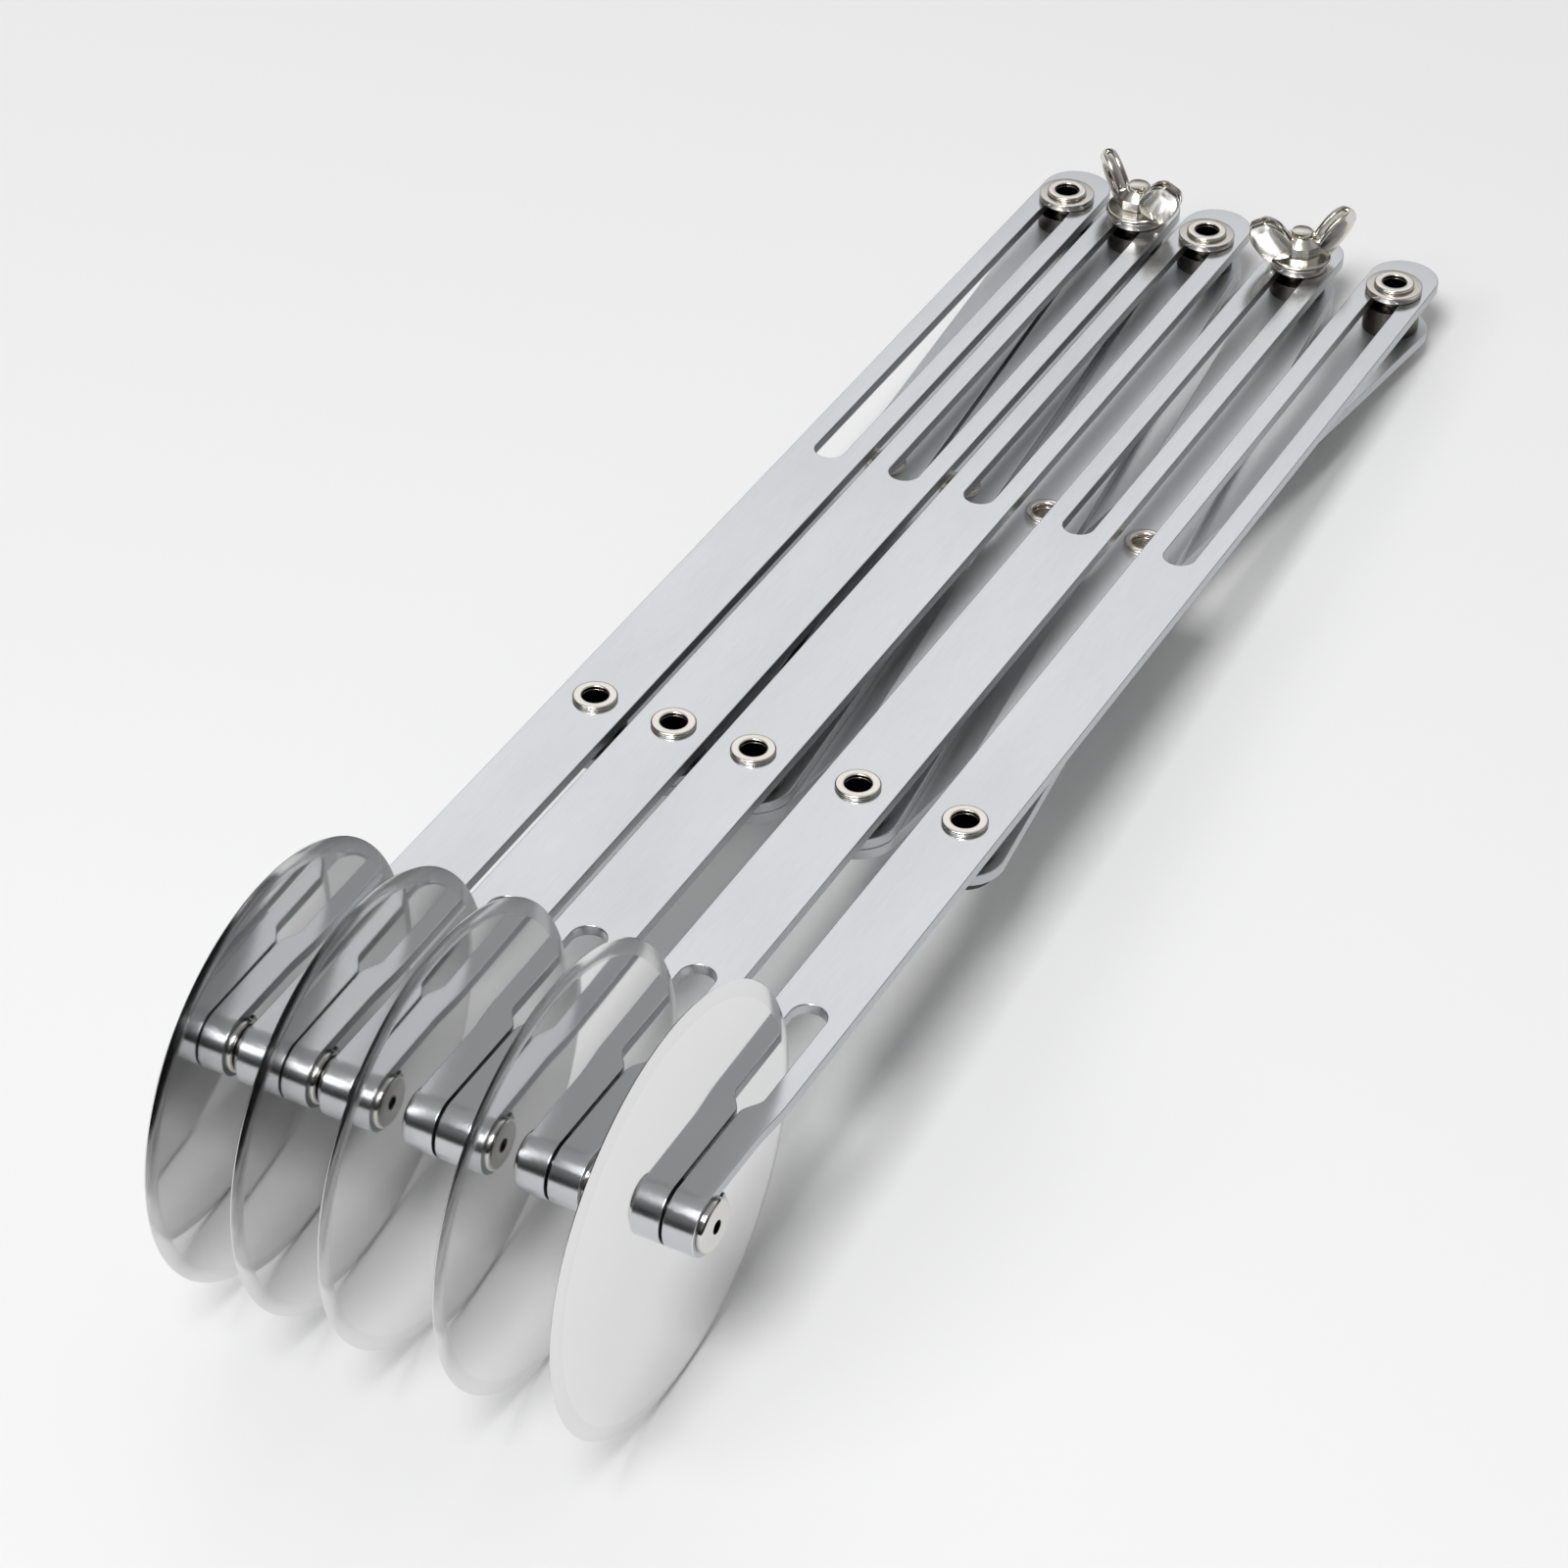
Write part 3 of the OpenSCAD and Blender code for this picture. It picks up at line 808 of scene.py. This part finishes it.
def make_bolt(i):
    """A slotted bolt with its head below, a wound thread and a domed end."""
    at = FLAT @ Matrix.Translation((bar_x[i], rear_y(i), 0))
    core = BOLT_D / 2 - THREAD_PITCH / 2
    head, seat = BOLT_HEAD_D / 2, WASHER_UNDER
    under = seat - BOLT_HEAD_H
    edge = BOLT_ROUND_SHARE * BOLT_HEAD_H
    bottom = arc((head - edge, under + edge), edge, -90, 0, HEAD_EDGE_STEPS)
    end = [(core * width, BOLT_TOP - BOLT_END_H * down) for width, down in BOLT_END_SHARES]
    body = turned([(0, under)] + bottom + [(head, seat), (core, seat)] + end)
    heights = {"Low": seat + THREAD_FROM_HEAD, "High": BOLT_TOP - THREAD_FROM_TOP}
    thread = grown(wound_thread, {"Core radius": core, "Pitch": THREAD_PITCH, **heights})
    mesh = placed(merged([slotted(body, under), thread]), at)
    new_piece(f"threaded_bolt_{i}", mesh, f"upper_{i}", [f"clamp_bolt_{i}"],
              [clamp_nickel])


def make_clamp_washer(i):
    """The washer between bar i and its wing nut."""
    at = (bar_x[i], rear_y(i), 0)
    make_rings(f"top_washer_{i}", f"clamp_washer_{i}", f"upper_{i}", at, [(LAYER_GAP, WASHER_TOP)],
               BOLT_D + LAYER_GAP, washer_steel)


def ear_half_width(height, top):
    """Half the width of an ear at a height above its root: an oval, cut off where it meets the hub."""
    middle = EAR_WAIST_SHARE * top
    reach = top - middle if height > middle else EAR_ROOT_REACH_SHARE * middle
    away = min(1, abs(height - middle) / reach)
    return EAR_HALF_W * (1 - away ** EAR_OVAL_POWER) ** (1 / EAR_OVAL_POWER)


def ear_path(gap, straight):
    """The fold of an ear from root to root: y, z and the direction outwards of each row."""
    path = [(-gap, straight * k / EAR_ROWS, math.pi) for k in range(EAR_ROWS)]
    for k in range(EAR_BEND_ROWS + 1):
        a = math.pi * (1 - k / EAR_BEND_ROWS)
        path.append((gap * math.cos(a), straight + gap * math.sin(a), a))
    return path + [(gap, straight * (1 - k / EAR_ROWS), 0.0) for k in range(1, EAR_ROWS + 1)]


def grid_border(grid):
    """The verts round a grid of rows, in order."""
    right = [row[-1] for row in grid[-2::-1]]
    return [row[0] for row in grid] + grid[-1][1:] + right + grid[0][-2:0:-1]


def ear_sheet():
    """An ear as a bmesh: two domed oval walls with a slit between them, joined at the tip."""
    gap = (EAR_T - EAR_SHEET) / 2
    straight = EAR_LEN - EAR_T / 2
    bm = bmesh.new()
    grids = []
    for out in (EAR_SHEET / 2, -EAR_SHEET / 2):
        grid = []
        for y, z, a in ear_path(gap, straight):
            half = EAR_TIP_HALF_W + ear_half_width(z, straight + gap)
            out_y, out_z = y + out * math.cos(a), z + out * math.sin(a)
            swell = math.sin(math.pi * min(1, z / straight)) ** EAR_BULGE_POWER
            crown = EAR_BULGE * math.cos(a) * swell
            row = []
            for j in range(EAR_COLUMNS):
                across = 2 * j / (EAR_COLUMNS - 1) - 1
                row.append(bm.verts.new((half * across, out_y + crown * (1 - across * across), out_z)))
            grid.append(row)
        grids.append(grid)
    for grid in grids:
        for low, high in zip(grid, grid[1:]):
            for j in range(EAR_COLUMNS - 1):
                bm.faces.new((low[j], low[j + 1], high[j + 1], high[j]))
    outer, inner = [grid_border(grid) for grid in grids]
    for k in range(len(outer)):
        bm.faces.new((outer[k - 1], outer[k], inner[k], inner[k - 1]))
    bmesh.ops.recalc_face_normals(bm, faces=bm.faces)
    sharp = [e for e in bm.edges if e.calc_face_angle(0) > EAR_SHARP_ANGLE]
    bmesh.ops.bevel(bm, geom=sharp, offset=EAR_EDGE, segments=EDGE_SEGMENTS, profile=ROUND_PROFILE,
                    affect="EDGES")
    return bm


def make_wing_nut(i):
    """A pressed wing nut: rolled base, eight-sided hub and two folded ears."""
    bore, rim, hub = BOLT_D / 2 + LAYER_GAP / 2, NUT_BASE_D / 2, NUT_HUB_D / 2
    roll = NUT_ROLL_SHARE * NUT_BASE_H
    seam = NUT_BASE_H - NUT_SEAM_SHARE * roll
    top = NUT_BASE_H + NUT_HUB_H
    dome = NUT_DOME_SHARE * hub
    base = [(bore, 0)] + arc((rim - roll, roll), roll, -90, NUT_ROLL_END_DEGREES, NUT_ROLL_STEPS)
    base += [(hub, seam), (bore, seam)]
    crown = [(bore, roll), (hub, roll), (hub, top - dome), (hub - dome, top), (bore, top)]
    parts = [turned(base, NUT_STEPS), turned(crown, NUT_FLATS)]
    turn = Matrix.Rotation(EAR_LEAN, 4, "Y") @ Matrix.Rotation(EAR_TWIST, 4, "Z")
    root = Matrix.Translation((EAR_ROOT_X, 0, EAR_ROOT_Z)) @ turn
    for side in (1, -1):
        ear = ear_sheet()
        bmesh.ops.transform(ear, matrix=Matrix.Scale(side, 4, (1, 0, 0)) @ root, verts=ear.verts)
        if side < 0:
            bmesh.ops.reverse_faces(ear, faces=ear.faces)
        parts.append(ear)
    seat = Matrix.Translation((bar_x[i], rear_y(i), WASHER_TOP))
    mesh = placed(merged(parts), FLAT @ seat @ Matrix.Rotation(NUT_TURN[i], 4, "Z"))
    new_piece(f"pressed_wing_nut_{i}", mesh, f"nut_{i}", [f"wing_nut_{i}"],
              [clamp_nickel])


for number in range(1, BAR_COUNT + 1):
    make_bar(number)
    make_wheel(number)
    make_rivet(number)
    make_front_pivot(number)
    make_rear_pivot(number)
for number in range(1, BAR_COUNT):
    make_link("upper", number)
    make_link("lower", number)
    make_cross_eyelet(number)
for number in NUT_TURN:
    make_bolt(number)
    make_clamp_washer(number)
    make_wing_nut(number)


def make_floor():
    """A wide floor of matt white paint, with no shine."""
    bpy.ops.mesh.primitive_plane_add(size=FLOOR_SIDE_M, location=(0, 0, 0))
    floor = bpy.context.object
    floor.name = "floor"
    paint = bpy.data.materials.new("matt_white_floor")
    paint.use_nodes = True
    shader = paint.node_tree.nodes["Principled BSDF"]
    shader.inputs["Base Color"].default_value = srgb("#f9f9f9")
    shader.inputs["Roughness"].default_value = 1.0
    shader.inputs["Specular IOR Level"].default_value = 0.0
    floor.data.materials.append(paint)


def make_world():
    """A plain studio: dim at the horizon and at the sides that SIDE_SHARES names, bright above."""
    world = bpy.data.worlds.new("studio")
    bpy.context.scene.world = world
    world.use_nodes = True
    tree = world.node_tree
    tree.nodes.clear()
    place = add_node(tree, "ShaderNodeTexCoord")
    parts = add_node(tree, "ShaderNodeSeparateXYZ", {"Vector": place.outputs["Generated"]})
    ramp = add_node(tree, "ShaderNodeValToRGB", {"Fac": parts.outputs["Z"]})
    elements = ramp.color_ramp.elements
    while len(elements) < len(STUDIO_STOPS):
        elements.new(0.5)
    for element, (height, grey) in zip(elements, STUDIO_STOPS):
        element.position = height
        element.color = (grey, grey, grey, 1)
    soft = {"interpolation_type": "SMOOTHSTEP"}
    around = None
    for axis, (start, end), (first, last) in SIDE_SHARES:
        span = {"From Min": start, "From Max": end, "To Min": first, "To Max": last}
        share = add_node(tree, "ShaderNodeMapRange", {"Value": parts.outputs[axis], **span}, **soft)
        if around:
            share = add_node(tree, "ShaderNodeMath", {0: around, 1: share}, operation="MULTIPLY")
        around = share
    span = {"From Min": OVERHEAD_SPAN[0], "From Max": OVERHEAD_SPAN[1]}
    overhead = add_node(tree, "ShaderNodeMapRange", {"Value": parts.outputs["Z"], **span}, **soft)
    level = add_node(tree, "ShaderNodeMix", {"Factor": overhead, "A": around, "B": 1.0}, data_type="FLOAT")
    studio = add_node(tree, "ShaderNodeBackground", {"Color": ramp, "Strength": level})
    add_node(tree, "ShaderNodeOutputWorld", {"Surface": studio})


def make_light(name, at, size, power):
    """A rectangular softbox that faces the origin."""
    lamp = bpy.data.lights.new(name, "AREA")
    lamp.shape = "RECTANGLE"
    lamp.size, lamp.size_y = size
    lamp.energy = power
    light = bpy.data.objects.new(name, lamp)
    light.location = at
    light.rotation_euler = (-Vector(at)).to_track_quat("-Z", "Y").to_euler()
    bpy.context.scene.collection.objects.link(light)


def make_camera():
    """The photograph's viewpoint, in its square frame."""
    away = math.cos(CAMERA_ELEVATION)
    back = Vector((math.sin(CAMERA_AZIMUTH) * away, -math.cos(CAMERA_AZIMUTH) * away,
                   math.sin(CAMERA_ELEVATION)))
    level = back.cross(Vector((0, 0, -1))).normalized()
    over = back.cross(level)
    right = math.cos(CAMERA_ROLL) * level + math.sin(CAMERA_ROLL) * over
    up = back.cross(right)
    data = bpy.data.cameras.new("camera")
    data.sensor_width = SENSOR_MM
    data.lens = FOCAL_PX * SENSOR_MM / FRAME_PX
    data.clip_start, data.clip_end = CLIP_START_M, CLIP_END_M
    camera = bpy.data.objects.new("camera", data)
    turn = FLAT.to_quaternion().to_matrix() @ Matrix((right, up, back)).transposed()
    camera.matrix_world = Matrix.Translation(FLAT @ CAMERA_AT) @ turn.to_4x4()
    bpy.context.scene.collection.objects.link(camera)
    bpy.context.scene.camera = camera


make_floor()
make_world()
for lamp_name, lamp_facts in SOFTBOXES.items():
    make_light(lamp_name, **lamp_facts)
make_camera()
bpy.context.scene.view_settings.view_transform = "Standard"
